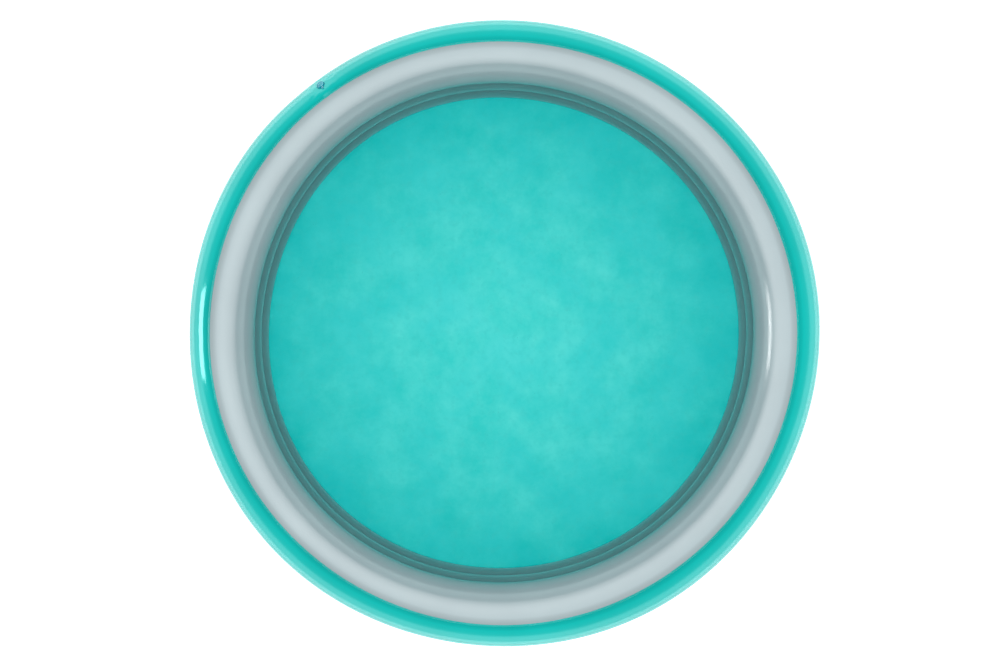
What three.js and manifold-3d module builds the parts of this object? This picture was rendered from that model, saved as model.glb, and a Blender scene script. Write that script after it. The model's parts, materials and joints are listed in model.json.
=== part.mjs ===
// Inflatable paddling pool, in millimetres, +Z up, with its origin at the centre of the base.
// The wall is three stacked air rings. Each ring is an outer and an inner strip of vinyl, welded along
// the creases above and below it, and it is a chamber of its own with its own push-in valve. The floor
// is one sheet, welded to the bottom ring. The valves stand one above the other on the outer strips.
import * as THREE from 'three';
import { mergeVertices } from 'three/addons/utils/BufferGeometryUtils.js';
import Module from 'manifold-3d';

const wasm = await Module();
wasm.setup();

// Wall, floor and welds
const seamRadius = 469;
const ringHeight = 82.6;
const outerSwell = 42;
const innerSwell = 61;
const wallVinyl = 0.4;
const floorVinyl = 0.4;
const weldWidth = 3.2;
const beadRise = 0.9;
const beadCrownShare = 0.5;

// Clearances: between pieces that touch, round a sliding piece, round a collar, and past a face that is cut
const seatGap = 0.3;
const slidingGap = 0.4;
const collarClearance = 0.6;
const cutOverrun = 2;

// Facets of the large rings and of the small valve pieces
const ringSides = 56;
const outerFacets = 7;
const innerFacets = 8;
const valveSides = 16;

// Where the valves sit: their azimuth, and the facet of the outer strip, counted from below
const valveAzimuth = THREE.MathUtils.degToRad(126.4);
const valveFacet = 5;

// Valve flange, welded under the skin, with the sleeve that guides the stem
const flangeRadius = 12.5;
const flangeThickness = 0.8;
const sleeveWall = 1.2;
const sleeveDepth = 4.8;

// Valve stem, with a collar at its mouth and a stop bead at its inner end
const stemRadius = 4.6;
const stemBore = 3.2;
const stemTravel = 12;
const collarRadius = 6.6;
const collarHeight = 1.6;
const stopRadius = 5.8;
const stopHeight = 1.2;

// Plug: a crowned cap on a tapered shank
const capRadius = 6.5;
const capHeight = 1.3;
const capCrown = 0.6;
const shankLength = 7;
const shankTipShare = 0.8;
const crownSteps = 3;

// Check flap under the stem, and the strap from the stem's collar to the cap
const flapThickness = 0.4;
const flapOverlap = 0.7;
const hingeTabWidth = 3;
const strapWidth = 3.2;
const strapThickness = 0.6;
const strapReach = 3.4;
const strapBendSteps = 3;

// Colours and gloss of the vinyls
const tealVinyl = { color: 0x12b9ae, roughness: 0.2, metalness: 0 };
const greyVinyl = { color: 0xbdc8cb, roughness: 0.25, metalness: 0 };
const floorFinish = { color: 0x3cc6bf, roughness: 0.35, metalness: 0 };
const weldFinish = { color: 0x0fa79e, roughness: 0.2, metalness: 0 };
const valveFinish = { color: 0x3fb9cf, roughness: 0.15, metalness: 0 };

// Sizes that follow from the ones above
const halfRing = ringHeight / 2;
const halfWeld = weldWidth / 2;
const ringPitch = ringHeight + seatGap;
const sleeveBore = stemRadius + slidingGap;
const holeRadius = collarRadius + collarClearance;
const flangeTop = -wallVinyl - seatGap;
const sleeveEnd = flangeTop - sleeveDepth;
const collarFoot = flangeTop + seatGap;
const collarTop = collarFoot + collarHeight;
const stopTop = sleeveEnd - seatGap - stemTravel;
const stemEnd = stopTop - stopHeight;
const capFoot = collarTop + seatGap;
const capTop = capFoot + capHeight;
const flapTop = stemEnd - seatGap;

// Height of the middle of a ring, counted from 0 at the bottom
function ringMiddle(ring) {
  return floorVinyl + seatGap + halfRing + ring * ringPitch;
}

// Closes a geometry: shared corners are merged and the collapsed faces at an axis are dropped
function closed(geometry) {
  geometry.deleteAttribute('normal');
  geometry.deleteAttribute('uv');
  const merged = mergeVertices(geometry);
  const corners = merged.index.array;
  const kept = [];
  for (let i = 0; i < corners.length; i += 3) {
    const [a, b, c] = corners.slice(i, i + 3);
    if (a !== b && b !== c && c !== a) kept.push(a, b, c);
  }
  merged.setIndex(kept);
  return merged;
}

// Turns an outline of [radius, height] points, counter-clockwise, into a solid of revolution about +Z
function revolve(outline, sides, start = 0) {
  const points = outline.map(([radius, height]) => new THREE.Vector2(radius, height));
  return closed(new THREE.LatheGeometry(points, sides, start).rotateX(Math.PI / 2));
}

// A ring round the pool from a closed outline, with one of its flats centred on the valves
function poolRing(outline) {
  const start = valveAzimuth + Math.PI / 2 + Math.PI / ringSides;
  return revolve([...outline, outline[0]], ringSides, start);
}

// A plain cylinder along +Z between two heights
function cylinder(radius, foot, top) {
  return revolve([[0, foot], [radius, foot], [radius, top], [0, top]], valveSides);
}

// Exact solids for cutting and joining, and the way back to a geometry
function toSolid(geometry) {
  const vertProperties = new Float32Array(geometry.attributes.position.array);
  const triVerts = new Uint32Array(geometry.index.array);
  return new wasm.Manifold(new wasm.Mesh({ numProp: 3, vertProperties, triVerts }));
}

function toGeometry(solid) {
  const mesh = solid.getMesh();
  const geometry = new THREE.BufferGeometry();
  geometry.setAttribute('position', new THREE.BufferAttribute(mesh.vertProperties, 3));
  geometry.setIndex(new THREE.BufferAttribute(mesh.triVerts, 1));
  return geometry;
}

function piece(name, geometry, finish) {
  const mesh = new THREE.Mesh(geometry, new THREE.MeshStandardMaterial(finish));
  mesh.name = name;
  return mesh;
}

// A point of a strip's swollen section, sunk below its outer face, as [radius, height above the ring's middle]
function sectionPoint(swell, angle, depth) {
  const along = Math.cos(angle) / swell;
  const up = Math.sin(angle) / halfRing;
  const sink = depth / Math.hypot(along, up);
  const radius = seamRadius + swell * Math.cos(angle) - sink * along;
  return [radius, halfRing * Math.sin(angle) - sink * up];
}

// The angles of a strip's corners, from the weld below it to the weld above it
function sectionAngles(swell, facets) {
  const end = Math.acos((halfWeld + seatGap) / Math.abs(swell));
  return Array.from({ length: facets + 1 }, (_, i) => end * (2 * i / facets - 1));
}

// One face of a strip as a run of points from below to above, at a depth under the outer face
function stripFace(swell, facets, middle, depth) {
  return sectionAngles(swell, facets).map((angle) => {
    const [radius, height] = sectionPoint(swell, angle, depth);
    return [radius, middle + height];
  });
}

// A layer of sheet that follows a strip: swell is positive outwards and negative towards the middle
function stripLayer(swell, facets, middle, depth, thickness) {
  const outside = stripFace(swell, facets, middle, depth);
  const inside = stripFace(swell, facets, middle, depth + thickness);
  const [right, left] = swell > 0 ? [outside, inside] : [inside, outside];
  return poolRing([...right, ...left.reverse()]);
}

// Where a ring's valve stands: +Z out of the flat of the outer strip that carries it, +X down along it
function valvePlace(ring) {
  const flatShare = Math.cos(Math.PI / ringSides);
  const face = stripFace(outerSwell, outerFacets, ringMiddle(ring), 0);
  const [low, high] = [face[valveFacet], face[valveFacet + 1]];
  const radius = (low[0] + high[0]) / 2 * flatShare;
  const height = (low[1] + high[1]) / 2;
  const lean = Math.atan2(high[1] - low[1], (low[0] - high[0]) * flatShare);
  return new THREE.Matrix4()
    .makeRotationZ(valveAzimuth)
    .multiply(new THREE.Matrix4().makeTranslation(radius, 0, height))
    .multiply(new THREE.Matrix4().makeRotationY(lean));
}

// Outer strip of a ring, with the hole that the valve stands in
function outerSkin(ring) {
  const strip = toSolid(stripLayer(outerSwell, outerFacets, ringMiddle(ring), 0, wallVinyl));
  const hole = cylinder(holeRadius, -wallVinyl - cutOverrun, cutOverrun).applyMatrix4(valvePlace(ring));
  return toGeometry(strip.subtract(toSolid(hole)));
}

function innerSkin(ring) {
  return stripLayer(-innerSwell, innerFacets, ringMiddle(ring), 0, wallVinyl);
}

// A flat weld between the strips, from one height to another
function weldBand(foot, top) {
  const [inside, outside] = [seamRadius - halfWeld, seamRadius + halfWeld];
  return poolRing([[inside, foot], [outside, foot], [outside, top], [inside, top]]);
}

// The weld that joins the top of one ring to the foot of the next
function creaseSeam(ring) {
  const foot = ringMiddle(ring) + halfRing - wallVinyl;
  const top = ringMiddle(ring + 1) - halfRing + wallVinyl;
  return weldBand(foot, top);
}

// The weld on top of the wall stands up as a narrow bead
function topSeam() {
  const skinTop = ringMiddle(ringNames.length - 1) + halfRing;
  const [inside, outside] = [seamRadius - halfWeld, seamRadius + halfWeld];
  const crown = halfWeld * beadCrownShare;
  return poolRing([
    [inside, skinTop - wallVinyl],
    [outside, skinTop - wallVinyl],
    [outside, skinTop],
    [seamRadius + crown, skinTop + beadRise],
    [seamRadius - crown, skinTop + beadRise],
    [inside, skinTop],
  ]);
}

function baseSeam() {
  return weldBand(0, floorVinyl + seatGap + wallVinyl);
}

function floorSheet() {
  const edge = seamRadius - halfWeld - seatGap;
  const start = valveAzimuth + Math.PI / 2 + Math.PI / ringSides;
  return revolve([[0, 0], [edge, 0], [edge, floorVinyl], [0, floorVinyl]], ringSides, start);
}

// Flange: a disc that follows the inside of the skin, with the sleeve under it
function valveFlange(ring) {
  const place = valvePlace(ring);
  const depth = wallVinyl + seatGap;
  const layer = toSolid(stripLayer(outerSwell, outerFacets, ringMiddle(ring), depth, flangeThickness));
  const disc = cylinder(flangeRadius, sleeveEnd, cutOverrun).applyMatrix4(place);
  const sleeveRadius = sleeveBore + sleeveWall;
  const sleeve = cylinder(sleeveRadius, sleeveEnd, flangeTop - flangeThickness / 2).applyMatrix4(place);
  const bore = cylinder(sleeveBore, sleeveEnd - cutOverrun, cutOverrun).applyMatrix4(place);
  return toGeometry(layer.intersect(toSolid(disc)).add(toSolid(sleeve)).subtract(toSolid(bore)));
}

// Stem: a tube with a collar at its mouth and a stop bead below, which keeps it in the sleeve
function valveStem() {
  const outline = [
    [stemBore, stemEnd],
    [stopRadius, stemEnd],
    [stopRadius, stopTop],
    [stemRadius, stopTop],
    [stemRadius, collarFoot],
    [collarRadius, collarFoot],
    [collarRadius, collarTop],
    [stemBore, collarTop],
  ];
  return revolve([...outline, outline[0]], valveSides);
}

// Plug: a shank that tapers to its tip, under a cap with a crowned top
function valvePlug() {
  const shankRadius = stemBore - slidingGap;
  const tip = capFoot - shankLength;
  const crown = Array.from({ length: crownSteps + 1 }, (_, i) => {
    const turn = i / crownSteps * Math.PI / 2;
    return [i < crownSteps ? capRadius * Math.cos(turn) : 0, capTop + capCrown * Math.sin(turn)];
  });
  return revolve([
    [0, tip],
    [shankRadius * shankTipShare, tip],
    [shankRadius, capFoot - shankLength / 2],
    [shankRadius, capFoot],
    [capRadius, capFoot],
    ...crown,
  ], valveSides);
}

// Check flap: a disc over the stem's inner end, with a tab at its hinge
function valveFlap() {
  const radius = stemBore + flapOverlap;
  const halfTab = hingeTabWidth / 2;
  const tabAngle = Math.asin(halfTab / radius);
  const outline = new THREE.Shape();
  outline.moveTo(-stopRadius, -halfTab);
  outline.absarc(0, 0, radius, tabAngle - Math.PI, Math.PI - tabAngle, false);
  outline.lineTo(-stopRadius, halfTab);
  const extrusion = { depth: flapThickness, bevelEnabled: false, curveSegments: valveSides / 2 };
  const flap = new THREE.ExtrudeGeometry(outline, extrusion);
  return closed(flap.translate(0, 0, flapTop - flapThickness));
}

// Strap: a flat loop from the collar out over the skin and back to the edge of the cap
function valveStrap() {
  const foot = collarTop - strapThickness - seatGap / 2;
  const head = capFoot + (capHeight - strapThickness) / 2;
  const bendMiddle = (foot + head + strapThickness) / 2;
  const outerBend = (head + strapThickness - foot) / 2;
  const bendStart = collarRadius + strapReach;
  const outline = new THREE.Shape();
  outline.moveTo(collarRadius + seatGap, foot);
  outline.absarc(bendStart, bendMiddle, outerBend, -Math.PI / 2, Math.PI / 2, false);
  outline.lineTo(capRadius + seatGap, head + strapThickness);
  outline.lineTo(capRadius + seatGap, head);
  outline.absarc(bendStart, bendMiddle, outerBend - strapThickness, Math.PI / 2, -Math.PI / 2, true);
  outline.lineTo(collarRadius + seatGap, foot + strapThickness);
  const extrusion = { depth: strapWidth, bevelEnabled: false, curveSegments: strapBendSteps };
  const strap = new THREE.ExtrudeGeometry(outline, extrusion).translate(0, 0, -strapWidth / 2);
  return closed(strap.rotateX(Math.PI / 2).rotateZ(Math.PI));
}

// The loose pieces of one valve, standing in their place on the ring
function valve(name, ring) {
  const group = new THREE.Group();
  group.applyMatrix4(valvePlace(ring));
  group.add(
    piece(`${name}_valve_stem`, valveStem(), valveFinish),
    piece(`${name}_valve_plug`, valvePlug(), valveFinish),
    piece(`${name}_valve_flap`, valveFlap(), valveFinish),
    piece(`${name}_valve_strap`, valveStrap(), valveFinish),
  );
  return group;
}

const ringNames = ['bottom', 'middle', 'top'];
const pool = new THREE.Group();
pool.add(
  piece('floor_sheet', floorSheet(), floorFinish),
  piece('base_seam', baseSeam(), weldFinish),
  piece('lower_crease_seam', creaseSeam(0), weldFinish),
  piece('upper_crease_seam', creaseSeam(1), weldFinish),
  piece('top_seam', topSeam(), weldFinish),
);
ringNames.forEach((name, ring) => {
  pool.add(
    piece(`${name}_outer_skin`, outerSkin(ring), tealVinyl),
    piece(`${name}_inner_skin`, innerSkin(ring), greyVinyl),
    piece(`${name}_valve_flange`, valveFlange(ring), valveFinish),
    valve(name, ring),
  );
});

export default pool;
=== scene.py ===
import json
import math

import bmesh
import bpy
from mathutils import Matrix, Vector


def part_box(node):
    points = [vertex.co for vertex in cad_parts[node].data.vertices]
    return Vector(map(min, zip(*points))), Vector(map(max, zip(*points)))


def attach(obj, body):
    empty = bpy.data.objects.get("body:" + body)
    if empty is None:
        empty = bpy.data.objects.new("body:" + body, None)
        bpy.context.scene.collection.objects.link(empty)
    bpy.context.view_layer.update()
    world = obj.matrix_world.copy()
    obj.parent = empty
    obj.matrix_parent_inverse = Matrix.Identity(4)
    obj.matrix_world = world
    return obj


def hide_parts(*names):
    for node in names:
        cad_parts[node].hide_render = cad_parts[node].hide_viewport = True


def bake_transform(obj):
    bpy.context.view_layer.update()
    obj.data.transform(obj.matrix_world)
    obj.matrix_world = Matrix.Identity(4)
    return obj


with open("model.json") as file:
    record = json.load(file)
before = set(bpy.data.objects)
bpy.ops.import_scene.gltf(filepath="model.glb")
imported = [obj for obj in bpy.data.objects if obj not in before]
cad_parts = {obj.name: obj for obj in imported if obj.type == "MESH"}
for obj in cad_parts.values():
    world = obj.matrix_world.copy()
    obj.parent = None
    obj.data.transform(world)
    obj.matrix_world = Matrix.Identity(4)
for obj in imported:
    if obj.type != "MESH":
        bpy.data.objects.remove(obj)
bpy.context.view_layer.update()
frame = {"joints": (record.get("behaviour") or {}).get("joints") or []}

# Outer strips
# The outside of each air ring is one strip of glossy teal PVC film. The air presses it into a half round, and it
# is welded to the inner strip along both of its edges. It carries the ring's valve in a round hole.
ring_names = ("bottom", "middle", "top")
seam_radius = 0.469
half_ring = 0.0413
outer_swell = 0.042
film = 0.0004
section_sides = 96
ring_steps = 288
merge_distance = 0.00001


def only(piece):
    """Selects one piece and nothing else."""
    bpy.ops.object.select_all(action="DESELECT")
    piece.select_set(True)
    bpy.context.view_layer.objects.active = piece


def edit(piece, action="SELECT"):
    """Opens a piece for editing, with all or nothing of it selected."""
    only(piece)
    bpy.ops.object.mode_set(mode="EDIT")
    bpy.ops.mesh.select_all(action=action)


def close_edit():
    bpy.ops.object.mode_set(mode="OBJECT")


def keep_name(name):
    """Names what was just added, and leaves its place in its mesh."""
    piece = bpy.context.object
    piece.name = piece.data.name = name
    bpy.ops.object.transform_apply()
    return piece


def apply(piece, kind, **settings):
    """Adds a modifier and applies it."""
    only(piece)
    modifier = piece.modifiers.new(kind.lower(), kind)
    for setting, value in settings.items():
        setattr(modifier, setting, value)
    bpy.ops.object.modifier_apply(modifier=modifier.name)


def smooth(piece, sharp_from=35):
    only(piece)
    bpy.ops.object.shade_smooth_by_angle(angle=math.radians(sharp_from))


def ring_middle(name):
    low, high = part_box(f"{name}_outer_skin")
    return (low.z + high.z) / 2


def spin_round(steps, angle=math.tau):
    """Spins what is selected round the middle of the pool, and merges and turns the faces outwards."""
    bpy.ops.mesh.spin(steps=steps, angle=angle, center=(0, 0, 0), axis=(0, 0, 1))
    bpy.ops.mesh.select_all(action="SELECT")
    bpy.ops.mesh.remove_doubles(threshold=merge_distance)
    bpy.ops.mesh.normals_make_consistent(inside=False)


def strip(name, middle, swell, steps, angle=math.tau):
    """Half of an upright oval, spun round the pool. A negative swell stands towards the water."""
    bpy.ops.object.select_all(action="DESELECT")
    bpy.ops.mesh.primitive_circle_add(
        vertices=section_sides, location=(seam_radius, 0, middle), rotation=(math.pi / 2, 0, 0)
    )
    bpy.context.object.scale = (abs(swell), half_ring, 1)
    piece = keep_name(name)
    edit(piece)
    side = math.copysign(1, swell)
    bpy.ops.mesh.bisect(plane_co=(seam_radius, 0, middle), plane_no=(side, 0, 0), clear_inner=True)
    bpy.ops.mesh.select_all(action="SELECT")
    spin_round(steps, angle)
    close_edit()
    face = piece.data.polygons[0]
    core = Vector((face.center.x, face.center.y, 0)).normalized() * seam_radius
    core.z = middle
    if face.normal.dot(face.center - core) < 0:
        edit(piece)
        bpy.ops.mesh.flip_normals()
        close_edit()
    across = piece.data.attributes.new("across", "FLOAT", "POINT")
    for vertex, share in zip(piece.data.vertices, across.data):
        share.value = abs(vertex.co.z - middle) / half_ring
    return piece


# Where a ring's valve stands on its outer strip: X down along the film, Y round the pool, Z out
hinge_reach = 0.0058
hinge_depth = 0.0193


def valve_place(name):
    joints = {joint["name"]: joint for joint in frame["joints"]}
    out = Vector(joints[f"{name}_stem_pull"]["axis"])
    hinge = joints[f"{name}_flap_swing"]
    along = Vector(hinge["axis"])
    down = along.cross(out)
    origin = Vector(hinge["pos_m"]) + down * hinge_reach + out * hinge_depth
    return Matrix.Translation(origin) @ Matrix((down, along, out)).transposed().to_4x4()


# The soft wall isn't a true circle. The inside, the welds and the outside have waves round the pool, given as how
# many, how high and at what angle the first crest is. The valves stand where the outside is true.
inner_swell = 0.061
inside_waves = ((1, 0.0016, 147), (2, 0.0009, 55), (3, 0.0019, -5), (4, 0.0009, 34))
weld_waves = ((1, 0.0019, 144), (2, 0.0016, -6), (3, 0.0009, 6), (4, 0.0006, 32), (5, 0.0005, -17))
outside_waves = ((2, 0.0016, 2), (3, 0.0010, 1), (4, 0.0010, 32), (5, 0.0008, 9))
calm_width = 9
calm_start = 0.013
top_lean = 0.187
top_droop = 0.010


def wave_height(waves, azimuth):
    height = 0
    for count, crest_height, crest in waves:
        height += crest_height * math.cos(count * (azimuth - math.radians(crest)))
    return height


def settle(piece):
    """Moves a true round piece to where the soft wall stands.

    The top ring leans over its weld, and droops inside.
    """
    top_middle = ring_middle("top")
    droops = piece.name == "top_inner_film"
    valve = valve_place("top").translation
    valve_azimuth = math.atan2(valve.y, valve.x)
    for vertex in piece.data.vertices:
        radius = math.hypot(vertex.co.x, vertex.co.y)
        if radius < merge_distance:
            continue
        azimuth = math.atan2(vertex.co.y, vertex.co.x)
        outside = radius > seam_radius
        swell, waves = (outer_swell, outside_waves) if outside else (inner_swell, inside_waves)
        share = min(1, abs(radius - seam_radius) / swell)
        from_valve = math.degrees(math.remainder(azimuth - valve_azimuth, math.tau))
        calm = 1 - math.exp(-((from_valve / calm_width) ** 2))
        if outside:
            calm = 1 - (1 - calm) * min(1, (radius - seam_radius) / calm_start)
        else:
            calm = 1
        if vertex.co.z > top_middle:
            vertex.co.z += top_lean * (seam_radius - radius) * (1 - share) ** 2 * calm
        if droops:
            vertex.co.z -= top_droop * share**2
        moved = (1 - share) * wave_height(weld_waves, azimuth) + share * wave_height(waves, azimuth)
        scale = 1 + moved * calm * min(1, radius / (seam_radius - inner_swell)) / radius
        vertex.co.x *= scale
        vertex.co.y *= scale


# The film is a little flatter over the valve's flange, with small folds that run out from it
flange_radius = 0.0125
flat_fade = 0.024
flat_share = 0.3
fold_count = 11
fold_height = 0.00016
fold_drift = 2.4
hole_radius = 0.0072
hole_sides = 64
refined_reach = 0.034
refine_cuts = 3


def refine_at_valve(piece, middle, place):
    """Gives the strip finer faces round the valve, and sets them back on the oval."""
    edit(piece, "DESELECT")
    mesh = bmesh.from_edit_mesh(piece.data)
    for face in mesh.faces:
        face.select_set((face.calc_center_median() - place.translation).length < refined_reach)
    bmesh.update_edit_mesh(piece.data)
    bpy.ops.mesh.subdivide(number_cuts=refine_cuts)
    close_edit()
    for vertex in piece.data.vertices:
        radius = math.hypot(vertex.co.x, vertex.co.y)
        turn = math.atan2((vertex.co.z - middle) / half_ring, (radius - seam_radius) / outer_swell)
        true_radius = seam_radius + outer_swell * math.cos(turn)
        vertex.co.x *= true_radius / radius
        vertex.co.y *= true_radius / radius
        vertex.co.z = middle + half_ring * math.sin(turn)


def flatten_at_valve(piece, place):
    into = place.inverted()
    for vertex in piece.data.vertices:
        local = into @ vertex.co
        reach = math.hypot(local.x, local.y)
        if reach < refined_reach and abs(local.z) < flange_radius:
            share = min(1, max(0, (flat_fade - reach) / (flat_fade - flange_radius)))
            local.z *= 1 - flat_share * share * share * (3 - 2 * share)
            away = max(0, (reach - flange_radius) / (refined_reach - flange_radius))
            drift = math.sin(fold_drift * local.x / flange_radius)
            fold = math.cos(fold_count * math.atan2(local.y, local.x) + drift)
            local.z += fold_height * fold * math.sin(math.pi * away) ** 2
            vertex.co = place @ local


def cut_hole(piece, place):
    bpy.ops.object.select_all(action="DESELECT")
    bpy.ops.mesh.primitive_cylinder_add(vertices=hole_sides, radius=hole_radius, depth=flange_radius)
    cutter = bpy.context.object
    cutter.matrix_world = place
    apply(piece, "BOOLEAN", object=cutter, operation="DIFFERENCE", solver="EXACT")
    bpy.data.objects.remove(cutter)


def node(tree, kind, inputs=None, **settings):
    """Adds a node. An input is given a value, or a socket that it is linked to."""
    made = tree.nodes.new(f"ShaderNode{kind}")
    for setting, value in settings.items():
        setattr(made, setting, value)
    for name, value in (inputs or {}).items():
        if isinstance(value, bpy.types.NodeSocket):
            tree.links.new(value, made.inputs[name])
        else:
            made.inputs[name].default_value = value
    return made


def ramp(tree, share, steps):
    """Blends colours over the steps, each given as a position and a colour."""
    made = node(tree, "ValToRGB", {0: share})
    elements = made.color_ramp.elements
    while len(elements) < len(steps):
        elements.new(1)
    for element, (position, colour) in zip(elements, steps):
        element.position = position
        element.color = (*colour, 1)
    return made.outputs[0]


def noise(tree, place, scale, detail=2, roughness=0.5):
    inputs = {"Vector": place, "Scale": scale, "Detail": detail, "Roughness": roughness}
    return node(tree, "TexNoise", inputs).outputs[0]


def maths(tree, operation, *values):
    return node(tree, "Math", dict(enumerate(values)), operation=operation).outputs[0]


def map_range(tree, value, low, high, to_low=0, to_high=1, **settings):
    inputs = {"Value": value, "From Min": low, "From Max": high, "To Min": to_low, "To Max": to_high}
    return node(tree, "MapRange", inputs, **settings).outputs[0]


def level_and_radius(tree, place):
    """A place without its height, and its distance from the upright axis of the pool."""
    axes = node(tree, "SeparateXYZ", {0: place}).outputs
    level = node(tree, "CombineXYZ", {0: axes[0], 1: axes[1]}).outputs[0]
    return level, node(tree, "VectorMath", {0: level}, operation="LENGTH").outputs["Value"]


# Relief and marks of the film. A scale is how many blots there are to a metre.
pucker_scale = 95
pucker_fade = 0.02
slack_scale = 16
grain_scale = 500
grain_height = 0.000004
marks_scale = 22
marks_roughness = 0.05
tone_scale = 7


def film_group():
    """Relief, gloss and tone of thin PVC film: grain, slack waves, puckers at the welds and handling marks."""
    tree = bpy.data.node_groups.new("pvc_film", "ShaderNodeTree")
    for name in ("Puckers", "Waves", "Roughness"):
        tree.interface.new_socket(name, in_out="INPUT", socket_type="NodeSocketFloat")
    tree.interface.new_socket("Normal", in_out="OUTPUT", socket_type="NodeSocketVector")
    tree.interface.new_socket("Roughness", in_out="OUTPUT", socket_type="NodeSocketFloat")
    tree.interface.new_socket("Tone", in_out="OUTPUT", socket_type="NodeSocketFloat")
    given = tree.nodes.new("NodeGroupInput").outputs
    place = node(tree, "TexCoord").outputs["Object"]
    level, radius = level_and_radius(tree, place)
    unit = node(tree, "VectorMath", {0: level}, operation="NORMALIZE").outputs[0]
    around = node(tree, "VectorMath", {0: unit, 3: seam_radius}, operation="SCALE").outputs[0]

    # Puckers run square to the welds and fade out within two centimetres
    folds = noise(tree, around, pucker_scale, detail=1.5)
    from_weld = maths(tree, "ABSOLUTE", maths(tree, "SUBTRACT", radius, seam_radius))
    fade = map_range(tree, from_weld, 0.002, pucker_fade, 1, 0, interpolation_type="SMOOTHSTEP")
    puckers = maths(tree, "MULTIPLY", maths(tree, "MULTIPLY", folds, fade), given["Puckers"])

    slack = maths(tree, "MULTIPLY", noise(tree, place, slack_scale, detail=1), given["Waves"])
    grain = maths(tree, "MULTIPLY", noise(tree, place, grain_scale), grain_height)
    height = maths(tree, "ADD", maths(tree, "ADD", puckers, slack), grain)
    normal = node(tree, "Bump", {"Height": height, "Strength": 1, "Distance": 1}).outputs[0]

    marks = noise(tree, place, marks_scale, detail=5, roughness=0.6)
    marks = map_range(tree, marks, 0.4, 0.7, 0, marks_roughness)
    roughness = maths(tree, "ADD", given["Roughness"], marks)
    tone = noise(tree, place, tone_scale, detail=3)
    result = tree.nodes.new("NodeGroupOutput").inputs
    tree.links.new(normal, result["Normal"])
    tree.links.new(roughness, result["Roughness"])
    tree.links.new(tone, result["Tone"])
    return tree


pvc_film = film_group()
film_ior = 1.53
weld_depth = 0.82


def film_surface(tree, roughness, puckers, waves):
    """Gives a material the film's relief and gloss, and returns the film's tone."""
    shader = tree.nodes["Principled BSDF"]
    inputs = {"Roughness": roughness, "Puckers": puckers, "Waves": waves}
    surface = node(tree, "Group", inputs, node_tree=pvc_film).outputs
    tree.links.new(surface["Roughness"], shader.inputs["Roughness"])
    tree.links.new(surface["Normal"], shader.inputs["Normal"])
    return surface["Tone"]


def film_material(name, light, dark, roughness, puckers, waves, weld_reach=1):
    """Glossy film whose colour drifts between two tones and is deeper where it is fused double at a weld."""
    material = bpy.data.materials.new(name)
    material.use_nodes = True
    tree = material.node_tree
    shader = tree.nodes["Principled BSDF"]
    tone = film_surface(tree, roughness, puckers, waves)
    colour = ramp(tree, tone, ((0.35, dark), (0.65, light)))
    if weld_reach < 1:
        across = node(tree, "Attribute", attribute_name="across").outputs["Fac"]
        depth = map_range(tree, across, weld_reach, 1, 1, weld_depth, interpolation_type="SMOOTHSTEP")
        colour = node(tree, "VectorMath", {0: colour, 3: depth}, operation="SCALE").outputs[0]
    tree.links.new(colour, shader.inputs["Base Color"])
    shader.inputs["IOR"].default_value = film_ior
    return material


teal_film = film_material(
    "teal_outer_film",
    (0.0, 0.56, 0.515),
    (0.0, 0.515, 0.47),
    weld_reach=0.965,
    roughness=0.08,
    puckers=0.00014,
    waves=0.0004,
)
teal_shader = teal_film.node_tree.nodes["Principled BSDF"]
teal_shader.inputs["Specular IOR Level"].default_value = 0.67
teal_shader.inputs["Specular Tint"].default_value = (0.5, 1, 1, 1)

for name in ring_names:
    place = valve_place(name)
    piece = strip(f"{name}_outer_film", ring_middle(name), outer_swell, ring_steps)
    refine_at_valve(piece, ring_middle(name), place)
    settle(piece)
    flatten_at_valve(piece, place)
    apply(piece, "SOLIDIFY", thickness=film, offset=-1)
    cut_hole(piece, place)
    smooth(piece)
    piece.data.materials.clear()
    piece.data.materials.append(teal_film)
    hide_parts(f"{name}_outer_skin")
    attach(piece, "root")

# Lap welds
# The two ends of each outer strip overlap by about a centimetre and are fused there. The outer end stands up as a
# low step that runs over the tube, a little askew.
lap_azimuth = 148.5
lap_width = 0.0095
lap_slant = 1.1
lap_rise = 0.00025
lap_outward = 0.7
lap_thin_share = 0.35
lap_steps = 6

for name in ring_names:
    middle = ring_middle(name)
    piece = strip(f"{name}_lap_weld", middle, outer_swell, lap_steps, lap_width / seam_radius)
    leading = piece.vertex_groups.new(name="leading")
    for vertex in piece.data.vertices:
        share = min(1, abs(math.atan2(vertex.co.y, vertex.co.x)) * seam_radius / lap_width)
        leading.add([vertex.index], lap_thin_share + (1 - lap_thin_share) * share, "REPLACE")
        slant = math.radians(lap_azimuth + lap_slant * (vertex.co.z - middle) / half_ring)
        vertex.co.rotate(Matrix.Rotation(slant, 3, "Z"))
    settle(piece)
    apply(piece, "SOLIDIFY", thickness=lap_rise, offset=lap_outward, vertex_group="leading")
    smooth(piece)
    piece.data.materials.append(teal_film)
    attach(piece, "root")

# Inner strips
# The inside of each ring is a strip of pale grey PVC film. It bulges further than the outer one, because the ring
# is wider than it is high. The dark gaps between the three strips show from above as thin lines.
grey_film = film_material(
    "grey_inner_film",
    (0.465, 0.48, 0.507),
    (0.435, 0.45, 0.478),
    weld_reach=0.978,
    roughness=0.13,
    puckers=0.0004,
    waves=0.0004,
)
grey_film.node_tree.nodes["Principled BSDF"].inputs["Specular IOR Level"].default_value = 0.48

inner_films = []
for name in ring_names:
    piece = strip(f"{name}_inner_film", ring_middle(name), -inner_swell, ring_steps)
    settle(piece)
    apply(piece, "SOLIDIFY", thickness=film, offset=-1)
    smooth(piece)
    piece.data.materials.append(grey_film)
    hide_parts(f"{name}_inner_skin")
    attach(piece, "root")
    inner_films.append(piece)

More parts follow.
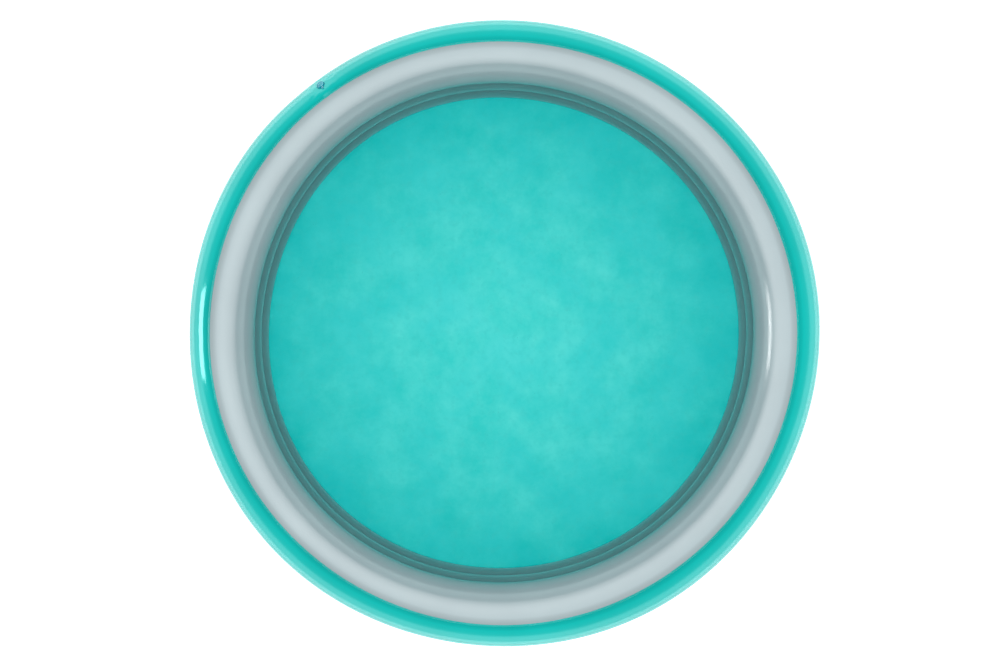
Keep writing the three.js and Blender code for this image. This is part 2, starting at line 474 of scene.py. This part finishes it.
# Welds
# Where strips meet they are fused by heat into a narrow band. On top of the wall it stands up as a round bead of
# the teal film, in the creases it closes the chambers, and below it joins the floor to the bottom ring.
weld_sides = 16
bead_width = 0.003
bead_radius = 0.4697
crease_width = 0.0052

weld_material = film_material(
    "fused_weld", (0.004, 0.45, 0.415), (0.002, 0.38, 0.35), roughness=0.25, puckers=0.00005, waves=0.0001
)
weld_material.node_tree.nodes["Principled BSDF"].inputs["Specular IOR Level"].default_value = 0.35


def weld(name, radius, low, high, width):
    """A ring with an oval section between two heights."""
    bpy.ops.object.select_all(action="DESELECT")
    bpy.ops.mesh.primitive_circle_add(
        vertices=weld_sides, location=(radius, 0, (low + high) / 2), rotation=(math.pi / 2, 0, 0)
    )
    bpy.context.object.scale = (width / 2, (high - low) / 2, 1)
    piece = keep_name(name)
    edit(piece)
    spin_round(ring_steps)
    close_edit()
    settle(piece)
    smooth(piece, 60)
    piece.data.materials.append(weld_material)
    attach(piece, "root")
    return piece


for node_name, radius, width in (
    ("top_seam", bead_radius, bead_width),
    ("upper_crease_seam", seam_radius, crease_width),
    ("lower_crease_seam", seam_radius, crease_width),
    ("base_seam", seam_radius, crease_width),
):
    low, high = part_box(node_name)
    piece = weld(f"{node_name}_weld", radius, low.z, high.z, width)
    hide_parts(node_name)

# Floor
# One sheet of the teal film, welded to the bottom ring and lying loose on the ground. It shows lighter over white
# ground, with a soft web where it lies on it, and it draws up in small puckers towards its weld. Its colour is
# darkened towards the wall by painted shade.
floor_edge = 0.467
floor_steps = 576
floor_rings = 34
ring_crowding = 1.6
pucker_height = 0.0011
pucker_start = 0.385
pucker_count = 97
slant_pucker_count = 61

# Tones of the floor, darkened by painted shade from one radius to the other, and how many blots there are to a
# metre
painted_shade_start = 0.02
painted_shade_end = 0.41
painted_shade_curve = 1.3
lit_middle_dark = (0.036, 0.590, 0.547)
lit_middle_light = (0.108, 0.688, 0.635)
lit_middle_blue = (0.040, 0.595, 0.60)
shaded_edge_dark = (0.006, 0.490, 0.467)
shaded_edge_light = (0.036, 0.577, 0.547)
shaded_edge_blue = (0.016, 0.525, 0.53)
fleck_tone = (0.04, 0.50, 0.47)
speck_tone = (0.02, 0.30, 0.29)
blot_scale = 13
blue_scale = 9
fleck_scale = 75
speck_scale = 130
few_specks_scale = 60


def mix(tree, share, first, second):
    """Mixes two colours, each given as a value or as a socket."""
    inputs = {0: share}
    for index, colour in ((6, first), (7, second)):
        inputs[index] = (*colour, 1) if isinstance(colour, tuple) else colour
    return node(tree, "Mix", inputs, data_type="RGBA").outputs[2]


def floor_material():
    """Teal film with painted shade, lighter in the middle of the pool and darker towards the wall, with soft
    blots, fine flecks and specks of dirt.
    """
    material = bpy.data.materials.new("teal_floor_film")
    material.use_nodes = True
    tree = material.node_tree
    shader = tree.nodes["Principled BSDF"]
    place = node(tree, "TexCoord").outputs["Object"]
    radius = level_and_radius(tree, place)[1]

    # Blots where the sheet touches the ground or stands off it
    blots = map_range(tree, noise(tree, place, blot_scale, detail=6, roughness=0.66), 0.35, 0.65)
    # Painted shade: the colour darkens from the middle of the pool out to the wall
    outward = map_range(tree, radius, painted_shade_start, painted_shade_end)
    outward = maths(tree, "POWER", outward, painted_shade_curve)
    lit_middle_tones = mix(tree, blots, lit_middle_dark, lit_middle_light)
    shaded_edge_tones = mix(tree, blots, shaded_edge_dark, shaded_edge_light)
    tones = mix(tree, outward, lit_middle_tones, shaded_edge_tones)

    # Places that show bluer, and fine flecks in the film
    blue = map_range(tree, noise(tree, place, blue_scale, detail=3), 0.42, 0.62, 0, 0.4)
    # The bluer tones darken towards the wall with the same painted shade
    tones = mix(tree, blue, tones, mix(tree, outward, lit_middle_blue, shaded_edge_blue))
    flecks = map_range(tree, noise(tree, place, fleck_scale, detail=3, roughness=0.6), 0.5, 0.7, 0, 0.3)
    tones = mix(tree, flecks, tones, fleck_tone)

    # Specks of dirt
    cells = node(tree, "TexVoronoi", {"Vector": place, "Scale": speck_scale, "Randomness": 1}).outputs["Distance"]
    specks = map_range(tree, cells, 0.05, 0.16, 0.3, 0)
    few = map_range(tree, noise(tree, place, few_specks_scale), 0.52, 0.6)
    tones = mix(tree, maths(tree, "MULTIPLY", specks, few), tones, speck_tone)
    tree.links.new(tones, shader.inputs["Base Color"])

    film_surface(tree, roughness=0.32, puckers=0.0004, waves=0.0012)
    shader.inputs["Specular IOR Level"].default_value = 0.16
    return material


def floor_sheet():
    """A disc of rings that shrink towards the middle, with its edge drawn up in puckers."""
    bpy.ops.object.select_all(action="DESELECT")
    bpy.ops.mesh.primitive_circle_add(vertices=floor_steps, radius=floor_edge, location=(0, 0, film))
    piece = keep_name("floor_film")
    edit(piece)
    radius = floor_edge
    for ring in range(1, floor_rings):
        wanted = floor_edge * (1 - (ring / floor_rings) ** ring_crowding)
        bpy.ops.mesh.extrude_region()
        bpy.ops.transform.resize(value=(wanted / radius, wanted / radius, 1))
        radius = wanted
    bpy.ops.mesh.merge(type="CENTER")
    bpy.ops.mesh.select_all(action="SELECT")
    bpy.ops.mesh.normals_make_consistent(inside=False)
    close_edit()
    if piece.data.polygons[0].normal.z < 0:
        edit(piece)
        bpy.ops.mesh.flip_normals()
        close_edit()
    for vertex in piece.data.vertices:
        radius = math.hypot(vertex.co.x, vertex.co.y)
        share = min(1, max(0, (radius - pucker_start) / (floor_edge - pucker_start)))
        azimuth = math.atan2(vertex.co.y, vertex.co.x)
        straight = math.sin(pucker_count * azimuth)
        slanted = math.sin(slant_pucker_count * azimuth + 2 * math.sin(5 * azimuth))
        fold = 0.5 + 0.25 * straight + 0.25 * slanted
        vertex.co.z += pucker_height * fold * math.sin(math.pi * share) ** 2
    settle(piece)
    apply(piece, "SOLIDIFY", thickness=film, offset=-1)
    smooth(piece)
    piece.data.materials.append(floor_material())
    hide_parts("floor_sheet")
    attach(piece, "root")
    return piece


floor = floor_sheet()

# Valves
# Each ring has a push-in valve of soft clear PVC with a blue tint: a flange welded under the film with a short
# sleeve, a stem that slides in it, a plug with a round cap, a strap that keeps the plug, and a check flap.
millimetre = 0.001
valve_sides = 64

# Radii, heights and widths of the valve in millimetres. Heights are measured outwards from the film.
flange_edge = 12.5
flange_top = -0.7
flange_foot = -1.5
sleeve_bore = 5
sleeve_radius = 6.2
sleeve_end = -5.5
stem_bore = 3.2
stem_radius = 4.6
stem_end = -19
stop_radius = 5.8
stop_top = -17.8
collar_radius = 6.6
collar_foot = -0.4
collar_top = 1.2
shank_radius = 2.8
shank_tip = -5.5
cap_radius = 6.5
cap_foot = 1.5
cap_shoulder = 2.8
finger_tab = 1.7
tab_end = 8
tab_height = 2.1
tab_taper = (1, 0.75, 0.7)
flap_radius = 3.9
flap_thickness = 0.4
flap_middle = -19.5
hinge_tab = 1.9
strap_width = 3.2
strap_thickness = 0.6
strap_bend = -10
strap_steps = 14


def turned(name, outline):
    """Turns an outline, in millimetres of radius and height, about its own upright axis, as on a lathe."""
    bpy.ops.object.select_all(action="DESELECT")
    (radius, height), *others = [(r * millimetre, h * millimetre) for r, h in outline]
    bpy.ops.mesh.primitive_plane_add(size=millimetre, location=(radius, 0, height))
    piece = keep_name(name)
    edit(piece)
    bpy.ops.mesh.merge(type="CENTER")
    for next_radius, next_height in others:
        step = (next_radius - radius, 0, next_height - height)
        bpy.ops.mesh.extrude_region_move(TRANSFORM_OT_translate={"value": step})
        radius, height = next_radius, next_height
    bpy.ops.mesh.select_all(action="SELECT")
    spin_round(valve_sides)
    close_edit()
    return piece


def round_edges(piece, width, segments=3):
    apply(
        piece,
        "BEVEL",
        width=width * millimetre,
        segments=segments,
        limit_method="ANGLE",
        angle_limit=math.radians(40),
    )


def flange(name):
    """A round plate with a sleeve, bent as the film over it."""
    plate = [(sleeve_bore, flange_top), (flange_edge, flange_top), (flange_edge, flange_foot)]
    sleeve = [(sleeve_radius, flange_foot), (sleeve_radius, sleeve_end), (sleeve_bore, sleeve_end)]
    piece = turned(name, [*plate, *sleeve, plate[0]])
    round_edges(piece, 0.2)
    for vertex in piece.data.vertices:
        vertex.co.z -= (1 - flat_share) * vertex.co.x**2 / (2 * outer_swell)
    return piece


def stem(name):
    """A tube with a stop at its inner end and a collar at its outer one."""
    stop = [(stem_bore, stem_end), (stop_radius, stem_end), (stop_radius, stop_top), (stem_radius, stop_top)]
    collar = [(stem_radius, collar_foot), (collar_radius, collar_foot), (collar_radius, collar_top)]
    piece = turned(name, [*stop, *collar, (stem_bore, collar_top), stop[0]])
    round_edges(piece, 0.3)
    return piece


def plug(name):
    """A tapered shank under a cap with a moulded rim, and a finger tab on the cap's lower side."""
    shank = [(0, shank_tip), (2.2, shank_tip), (shank_radius, -2), (shank_radius, cap_foot)]
    rim = [(cap_radius, cap_foot), (cap_radius, cap_shoulder), (5.9, 3.1), (4.5, 3.15)]
    crown = [(4.2, 2.95), (3.4, 2.95), (3, 3.2), (1.5, 3.35), (0, 3.4)]
    piece = turned(name, [*shank, *rim, *crown])
    edit(piece, "DESELECT")
    mesh = bmesh.from_edit_mesh(piece.data)
    for face in mesh.faces:
        middle = face.calc_center_median() / millimetre
        face.select_set(middle.x > 6 and abs(middle.y) < 2.2 and cap_foot < middle.z < cap_shoulder)
    bmesh.update_edit_mesh(piece.data)
    bpy.ops.mesh.extrude_region_move(TRANSFORM_OT_translate={"value": (finger_tab * millimetre, 0, 0)})
    tab_centre = (tab_end * millimetre, 0, tab_height * millimetre)
    bpy.ops.transform.resize(value=tab_taper, center_override=tab_centre)
    close_edit()
    round_edges(piece, 0.22)
    return piece


def flap(name):
    """A thin disc with a tab that joins it to the stem's inner end."""
    bpy.ops.object.select_all(action="DESELECT")
    bpy.ops.mesh.primitive_cylinder_add(
        vertices=valve_sides,
        radius=flap_radius * millimetre,
        depth=flap_thickness * millimetre,
        location=(0, 0, flap_middle * millimetre),
    )
    piece = keep_name(name)
    edit(piece, "DESELECT")
    mesh = bmesh.from_edit_mesh(piece.data)
    for face in mesh.faces:
        middle = face.calc_center_median() / millimetre
        if middle.x < -3 and abs(middle.y) < 1.4:
            face.select_set(True)
    bmesh.update_edit_mesh(piece.data)
    bpy.ops.mesh.extrude_region_move(TRANSFORM_OT_translate={"value": (-hinge_tab * millimetre, 0, 0)})
    close_edit()
    round_edges(piece, 0.08, 2)
    return piece


strap_foot = Vector((-0.0069, 0, 0.00075))
strap_head = Vector((-0.0068, 0, 0.00215))


def strap(name):
    """A flat band that loops out from the collar and back to the cap."""
    bpy.ops.object.select_all(action="DESELECT")
    bpy.ops.mesh.primitive_plane_add(size=millimetre, location=strap_foot, rotation=(0, math.pi / 2, 0))
    bpy.context.object.scale = (strap_thickness, strap_width, 1)
    piece = keep_name(name)
    bend = strap_bend * millimetre
    edit(piece)
    bpy.ops.mesh.extrude_region_move(TRANSFORM_OT_translate={"value": (bend - strap_foot.x, 0, 0)})
    middle = (strap_foot.z + strap_head.z) / 2
    bpy.ops.mesh.spin(steps=strap_steps, angle=math.pi, center=(bend, 0, middle), axis=(0, 1, 0))
    bpy.ops.mesh.extrude_region_move(TRANSFORM_OT_translate={"value": (strap_head.x - bend, 0, 0)})
    bpy.ops.mesh.select_all(action="SELECT")
    bpy.ops.mesh.remove_doubles(threshold=merge_distance)
    bpy.ops.mesh.normals_make_consistent(inside=False)
    close_edit()
    round_edges(piece, 0.15)
    return piece


valve_dark = (0.0, 0.41, 0.55)
valve_light = (0.02, 0.62, 0.77)
haze_scale = 260


def valve_material():
    """Soft clear PVC: blue where it is thick, with a faint haze."""
    material = bpy.data.materials.new("blue_clear_valve")
    material.use_nodes = True
    tree = material.node_tree
    shader = tree.nodes["Principled BSDF"]
    place = node(tree, "TexCoord").outputs["Object"]
    haze = noise(tree, place, haze_scale, detail=3)
    tones = ramp(tree, haze, ((0.35, valve_dark), (0.65, valve_light)))
    tree.links.new(tones, shader.inputs["Base Color"])
    tree.links.new(map_range(tree, haze, 0, 1, 0.1, 0.22), shader.inputs["Roughness"])
    shader.inputs["Transmission Weight"].default_value = 0.36
    shader.inputs["IOR"].default_value = 1.5
    shader.inputs["Specular IOR Level"].default_value = 0.32
    return material


blue_vinyl = valve_material()
for name in ring_names:
    for kind, make, body in (
        ("flange", flange, "root"),
        ("stem", stem, f"{name}_stem"),
        ("plug", plug, f"{name}_plug"),
        ("flap", flap, f"{name}_flap"),
        ("strap", strap, None),
    ):
        piece = make(f"{name}_{kind}")
        piece.matrix_world = valve_place(name)
        only(piece)
        bpy.ops.object.transform_apply()
        smooth(piece, 50)
        piece.data.materials.append(blue_vinyl)
        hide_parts(f"{name}_valve_{kind}")
        if body:
            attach(piece, body)
        else:
            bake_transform(piece)

# Studio
# A white sweep under the pool, two lamps straight above it, a softbox to the left, and a reflector and screens
# that show only in the gloss. The camera looks straight down on the pool.
sweep_size = 9
sweep_height = -0.0006
sweep_gloss = 0.75
sweep_light = 0.3
sweep_shown = 0.8

bpy.ops.object.select_all(action="DESELECT")
bpy.ops.mesh.primitive_plane_add(size=sweep_size, location=(0, 0, sweep_height))
sweep = keep_name("white_sweep")


def sweep_paper():
    """White paper that glows a little, and by its own shares where the camera or the gloss sees it."""
    material = bpy.data.materials.new("white_sweep")
    material.use_nodes = True
    tree = material.node_tree
    paper = tree.nodes["Principled BSDF"]
    paper.inputs["Base Color"].default_value = (0.88, 0.88, 0.88, 1)
    paper.inputs["Roughness"].default_value = 0.7
    paper.inputs["Emission Color"].default_value = (1, 1, 1, 1)
    paths = node(tree, "LightPath").outputs
    in_gloss = maths(tree, "MULTIPLY", paths["Is Glossy Ray"], sweep_gloss)
    shown = maths(tree, "MULTIPLY", paths["Is Camera Ray"], sweep_shown)
    glow = maths(tree, "ADD", maths(tree, "ADD", in_gloss, shown), sweep_light)
    tree.links.new(glow, paper.inputs["Emission Strength"])
    return material


sweep.data.materials.append(sweep_paper())

# A far lamp lights all but the floor. A near one, at about the camera's height, lights the floor up to the wall.
far_irradiance = 1.95
far_angle = 3
near_irradiance = 1.97
near_height = 2.8
near_size = 0.1


def light_only(light, pieces, state):
    """Lets a light reach some pieces alone, or all pieces but those."""
    group = bpy.data.collections.new(f"{light.name}_{state.lower()}")
    for piece in pieces:
        group.objects.link(piece)
    for member in group.collection_objects:
        member.light_linking.link_state = state
    light.light_linking.receiver_collection = group


far_light = bpy.data.lights.new("far_lamp", "SUN")
far_light.energy = far_irradiance
far_light.angle = math.radians(far_angle)
far_lamp = bpy.data.objects.new("far_lamp", far_light)
bpy.context.scene.collection.objects.link(far_lamp)
far_lamp.visible_glossy = False
light_only(far_lamp, [floor], "EXCLUDE")

near_light = bpy.data.lights.new("near_lamp", "POINT")
near_light.energy = 4 * math.pi * near_height**2 * near_irradiance
near_light.shadow_soft_size = near_size
near_lamp = bpy.data.objects.new("near_lamp", near_light)
near_lamp.location.z = near_height
bpy.context.scene.collection.objects.link(near_lamp)
near_lamp.visible_glossy = False
light_only(near_lamp, [floor], "INCLUDE")

softbox_place = Vector((-1.27, 0, 0.8))
softbox_aim = Vector((-0.05, 0, 0.24))
softbox_width = 0.38
softbox_height = 0.26
softbox_radiance = 12.5

softbox = bpy.data.lights.new("softbox", "AREA")
softbox.shape = "RECTANGLE"
softbox.size = softbox_width
softbox.size_y = softbox_height
softbox.energy = softbox_radiance * math.pi * softbox_width * softbox_height
panel = bpy.data.objects.new("softbox", softbox)
panel.location = softbox_place
panel.rotation_euler = (softbox_aim - softbox_place).to_track_quat("-Z", "Y").to_euler()
panel.visible_camera = False
panel.visible_diffuse = False
bpy.context.scene.collection.objects.link(panel)

# The reflector hangs low over the pool and shows only in the gloss. It is brightest in its middle and on the left.
reflector_height = 0.8
reflector_gloss = 4.75
reflector_steps = ((0, 1), (0.3, 0.91), (0.55, 0.64), (0.78, 0.47), (0.86, 0.36), (0.93, 0.06), (1, 0))
reflector_reach = 0.82
patch_gloss = 1
patch_middle = (-0.25, 0, reflector_height)
patch_reach = 0.4
stage_sides = 64
white = (1, 1, 1)


def tinted(steps, tint):
    """Turns steps of a position and a share into steps of a position and a colour."""
    return [(position, tuple(share * part for part in tint)) for position, share in steps]


def glow_material(name):
    """An empty material that isn't sampled as a light."""
    material = bpy.data.materials.new(name)
    material.use_nodes = True
    material.cycles.emission_sampling = "NONE"
    material.node_tree.nodes.clear()
    return material


def shine_through(tree, emission):
    """Makes the surface shine and let all other light through."""
    shine = node(tree, "Emission", emission).outputs[0]
    empty = node(tree, "BsdfTransparent").outputs[0]
    both = node(tree, "AddShader", {0: shine, 1: empty}).outputs[0]
    output = tree.nodes.new("ShaderNodeOutputMaterial")
    tree.links.new(both, output.inputs["Surface"])


def show_in_gloss(piece):
    piece.visible_camera = False
    piece.visible_diffuse = False
    piece.visible_transmission = False
    piece.visible_shadow = False


def share_from(tree, place, middle, reach):
    """How far a place is from a middle, as a share of the reach."""
    offset = node(tree, "VectorMath", {0: place, 1: middle}, operation="SUBTRACT").outputs[0]
    distance = node(tree, "VectorMath", {0: offset}, operation="LENGTH").outputs["Value"]
    return maths(tree, "DIVIDE", distance, reach)


def reflector():
    bpy.ops.object.select_all(action="DESELECT")
    bpy.ops.mesh.primitive_circle_add(
        vertices=stage_sides, radius=reflector_reach, fill_type="NGON", location=(0, 0, reflector_height)
    )
    cloth = keep_name("overhead_reflector")
    material = glow_material("overhead_reflector")
    tree = material.node_tree
    place = node(tree, "TexCoord").outputs["Object"]
    outward = share_from(tree, place, (0, 0, reflector_height), reflector_reach)
    whole = maths(tree, "MULTIPLY", ramp(tree, outward, tinted(reflector_steps, white)), reflector_gloss)
    from_patch = share_from(tree, place, patch_middle, patch_reach)
    patch = map_range(tree, from_patch, 0, 1, patch_gloss, 0, interpolation_type="SMOOTHSTEP")
    shine_through(tree, {"Strength": maths(tree, "ADD", whole, patch)})
    cloth.data.materials.append(material)
    show_in_gloss(cloth)


reflector()

# White screens stand round the pool, brightest low down. They too show only in the gloss. The inner strips have
# softer ones of their own.
white_distance = 1
soft_distance = 1.03
screen_height = 1.3
screen_gloss = 3.3
crisp_steps = (
    (0, 0.3), (0.1, 0.45), (0.2, 0.62), (0.3, 0.72), (0.37, 0.66), (0.4, 0.45), (0.43, 0.22), (0.477, 0.15),
    (0.56, 0.09), (0.65, 0.045), (0.8, 0.01), (1, 0)
)
soft_steps = ((0, 0.25), (0.15, 0.5), (0.3, 0.56), (0.42, 0.4), (0.55, 0.2), (0.7, 0.06), (0.85, 0), (1, 0))
soft_tint = (0.78, 1, 1)


def screens(name, distance, steps, tint, state):
    """An open drum round the pool that glows by height, seen by the inner strips alone or by all but them."""
    bpy.ops.object.select_all(action="DESELECT")
    bpy.ops.mesh.primitive_cylinder_add(
        vertices=stage_sides,
        radius=distance,
        depth=screen_height,
        end_fill_type="NOTHING",
        location=(0, 0, screen_height / 2),
    )
    screen = keep_name(name)
    material = glow_material(name)
    tree = material.node_tree
    place = node(tree, "TexCoord").outputs["Object"]
    height = maths(tree, "DIVIDE", node(tree, "SeparateXYZ", {0: place}).outputs[2], screen_height)
    shine_through(tree, {"Color": ramp(tree, height, tinted(steps, tint)), "Strength": screen_gloss})
    screen.data.materials.append(material)
    light_only(screen, inner_films, state)
    show_in_gloss(screen)


screens("white_screens", white_distance, crisp_steps, white, "EXCLUDE")
screens("soft_screens", soft_distance, soft_steps, soft_tint, "INCLUDE")

# The room itself is dark. What it adds to the light is little and tinted by the pool.
room_light = (0.20, 0.40, 0.40, 1)
room_gloss = 0.19


def studio_room():
    world = bpy.data.worlds.new("studio")
    world.use_nodes = True
    world.cycles.sampling_method = "NONE"
    tree = world.node_tree
    tree.nodes.clear()
    paths = node(tree, "LightPath").outputs
    lighting = node(tree, "Background", {"Color": room_light, "Strength": 1}).outputs[0]
    glossy = node(tree, "Background", {"Strength": room_gloss}).outputs[0]
    backdrop = node(tree, "Background", {"Color": (1, 1, 1, 1), "Strength": 1}).outputs[0]
    mixed = node(tree, "MixShader", {0: paths["Is Glossy Ray"], 1: lighting, 2: glossy}).outputs[0]
    mixed = node(tree, "MixShader", {0: paths["Is Camera Ray"], 1: mixed, 2: backdrop}).outputs[0]
    output = tree.nodes.new("ShaderNodeOutputWorld")
    tree.links.new(mixed, output.inputs["Surface"])
    return world


bpy.context.scene.world = studio_room()
bpy.context.scene.view_settings.view_transform = "Standard"

camera_place = (-0.006, 0.0001, 2.731)
camera_lens = 55.9
camera_sensor = 36

camera_data = bpy.data.cameras.new("camera")
camera_data.lens = camera_lens
camera_data.sensor_width = camera_sensor
camera = bpy.data.objects.new("camera", camera_data)
camera.location = camera_place
bpy.context.scene.collection.objects.link(camera)
bpy.context.scene.camera = camera
